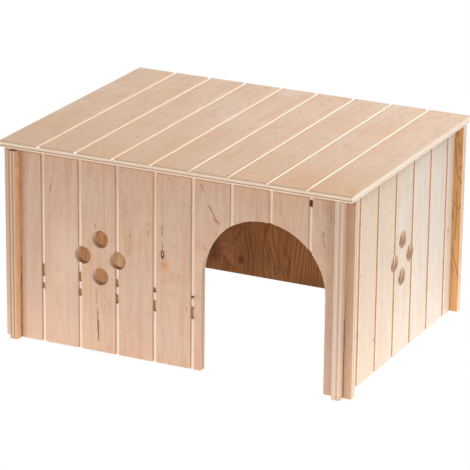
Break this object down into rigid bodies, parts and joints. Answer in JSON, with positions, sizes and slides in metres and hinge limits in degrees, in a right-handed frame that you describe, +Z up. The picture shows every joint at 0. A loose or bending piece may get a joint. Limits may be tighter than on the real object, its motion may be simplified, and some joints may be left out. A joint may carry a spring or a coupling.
{
  "type": "rabbit house",
  "caption": "Box-shaped small-pet house of slotted, plank-grooved plywood walls with an arched doorway, diamond vents, an open underside and a loose flat roof on battens.",
  "frame": {"origin": "on the floor, below the middle of the house", "axes": "+X to the right along the width, -Y towards the front with the doorway, +Z up"},
  "size_m": [0.43, 0.335, 0.235],
  "materials": {
    "plywood": "sanded, unvarnished",
    "roof_plywood": "sanded, unvarnished",
    "batten_wood": "planed, unvarnished",
    "screw_steel": "bright zinc"
  },
  "bodies": {
    "walls": {"front_wall": "plywood", "back_wall": "plywood", "left_wall": "plywood", "right_wall": "plywood"},
    "roof": {"roof_panel": "roof_plywood", "front_batten": "batten_wood", "back_batten": "batten_wood", "front_batten_screw_1": "screw_steel", "front_batten_screw_2": "screw_steel", "front_batten_screw_3": "screw_steel", "back_batten_screw_1": "screw_steel", "back_batten_screw_2": "screw_steel", "back_batten_screw_3": "screw_steel"}
  },
  "joints": [
    {"name": "roof_lift", "type": "slide", "parent": "walls", "child": "roof", "axis": [0, 0, 1], "range_m": [0, 0.12]}
  ]
}
